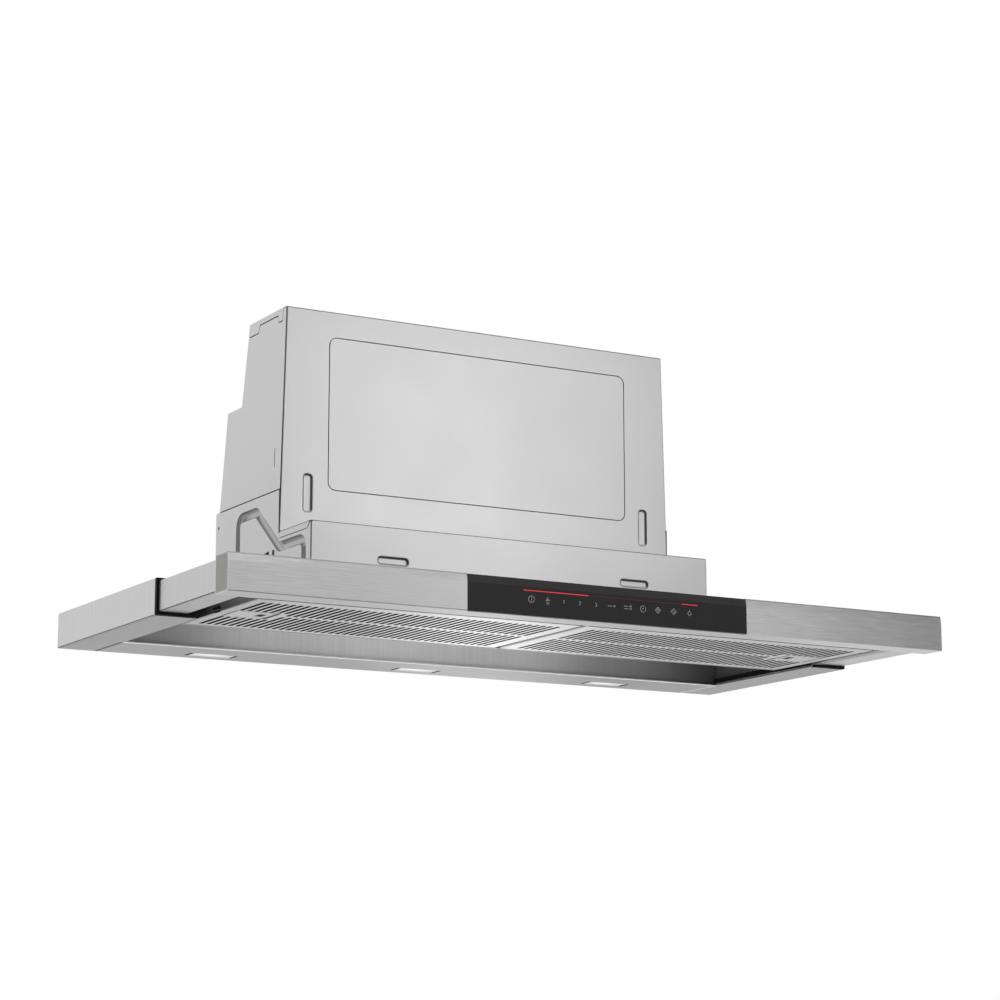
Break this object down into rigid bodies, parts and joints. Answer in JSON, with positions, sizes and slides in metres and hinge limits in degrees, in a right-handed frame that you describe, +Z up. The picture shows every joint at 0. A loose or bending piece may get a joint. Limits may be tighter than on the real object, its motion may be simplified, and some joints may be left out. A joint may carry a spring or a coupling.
{
  "type": "built-in range hood",
  "caption": "Built-in range hood with a pull-out visor, touch glass in the steel front strip, swing-down slotted grease filters, task lamps and a fan housing with a round duct outlet.",
  "frame": {"origin": "middle of the box round the pulled-out hood, at its flat underside", "axes": "+X to the right of a person who faces the front strip, the front faces -Y, +Z up out of the duct outlet"},
  "size_m": [0.898, 0.482, 0.39],
  "materials": {
    "brushed_steel": "brushed",
    "housing_steel": "satin",
    "zinc_steel": "zinc plated",
    "filter_aluminium": "satin",
    "mesh_aluminium": "matt",
    "black_glass": "gloss",
    "lamp_lens": "frosted",
    "black_plastic": "matt",
    "grey_plastic": "matt",
    "circuit_board": "lacquered",
    "motor_paint": "satin"
  },
  "bodies": {
    "chassis": {"base_rear_panel": "housing_steel", "base_top_plate": "housing_steel", "cable_gland": "black_plastic", "center_lamp_lens": "lamp_lens", "edge_bezels": "black_plastic", "flap_pin": "zinc_steel", "front_panel": "housing_steel", "guide_strips": "black_plastic", "housing_screws": "zinc_steel", "lamp_modules": "grey_plastic", "lamp_strip": "brushed_steel", "left_bottom_frame": "brushed_steel", "left_lamp_lens": "lamp_lens", "left_lower_side": "housing_steel", "left_recess_wall": "brushed_steel", "left_side_panel": "brushed_steel", "left_upper_side": "housing_steel", "motor": "motor_paint", "motor_capacitor": "black_plastic", "outer_rails": "zinc_steel", "outlet_adapter": "black_plastic", "outlet_ring": "black_plastic", "power_module": "grey_plastic", "rear_cover": "housing_steel", "recess_rear_wall": "brushed_steel", "right_bottom_frame": "brushed_steel", "right_lamp_lens": "lamp_lens", "right_lower_side": "housing_steel", "right_recess_wall": "brushed_steel", "right_side_panel": "brushed_steel", "right_upper_side": "housing_steel", "scroll_cover": "grey_plastic", "scroll_housing": "grey_plastic", "shelf_cover": "housing_steel", "top_cover": "housing_steel"},
    "fan": {"fan_wheel": "grey_plastic", "motor_shaft": "zinc_steel"},
    "front_flap": {"front_flap": "black_plastic"},
    "rear_flap": {"rear_flap": "black_plastic"},
    "visor": {"front_strip": "brushed_steel", "left_end_cap": "brushed_steel", "right_end_cap": "brushed_steel", "control_glass": "black_glass", "control_board": "circuit_board", "visor_front_bar": "brushed_steel", "visor_screws": "zinc_steel", "left_visor_side": "brushed_steel", "right_visor_side": "brushed_steel", "tray_cover": "brushed_steel", "left_tray_wall": "brushed_steel", "right_tray_wall": "brushed_steel", "tray_rear_bar": "brushed_steel", "inner_rails": "zinc_steel"},
    "ball_cages": {"ball_cages": "zinc_steel"},
    "left_filter": {"left_filter_frame": "filter_aluminium", "left_filter_mesh": "mesh_aluminium"},
    "right_filter": {"right_filter_frame": "filter_aluminium", "right_filter_mesh": "mesh_aluminium"},
    "left_latch": {"left_filter_latch": "filter_aluminium"},
    "right_latch": {"right_filter_latch": "filter_aluminium"}
  },
  "joints": [
    {"name": "visor_slide", "type": "slide", "parent": "chassis", "child": "visor", "axis": [0, -1, 0], "range_m": [-0.1515, 0]},
    {"name": "cage_slide", "type": "slide", "parent": "chassis", "child": "ball_cages", "axis": [0, -1, 0], "range_m": [-0.07575, 0]},
    {"name": "left_filter_hinge", "type": "hinge", "parent": "visor", "child": "left_filter", "pos_m": [-0.0055, -0.0915, 0.0075], "axis": [0, -1, 0], "range_deg": [0, 70]},
    {"name": "right_filter_hinge", "type": "hinge", "parent": "visor", "child": "right_filter", "pos_m": [0.0055, -0.0915, 0.0075], "axis": [0, 1, 0], "range_deg": [0, 70]},
    {"name": "left_latch_slide", "type": "slide", "parent": "left_filter", "child": "left_latch", "axis": [1, 0, 0], "range_m": [0, 0.005], "stiffness_N_per_m": 400},
    {"name": "right_latch_slide", "type": "slide", "parent": "right_filter", "child": "right_latch", "axis": [-1, 0, 0], "range_m": [0, 0.005], "stiffness_N_per_m": 400},
    {"name": "fan_spin", "type": "hinge", "parent": "chassis", "child": "fan", "pos_m": [0, 0.135, 0.215], "axis": [1, 0, 0], "continuous": true},
    {"name": "front_flap_hinge", "type": "hinge", "parent": "chassis", "child": "front_flap", "pos_m": [0, 0.137, 0.3583], "axis": [-1, 0, 0], "range_deg": [0, 80]},
    {"name": "rear_flap_hinge", "type": "hinge", "parent": "chassis", "child": "rear_flap", "pos_m": [0, 0.137, 0.3583], "axis": [1, 0, 0], "range_deg": [0, 80]}
  ],
  "couplings": [
    {"joint": "cage_slide", "follows": "visor_slide", "ratio": 0.5}
  ]
}
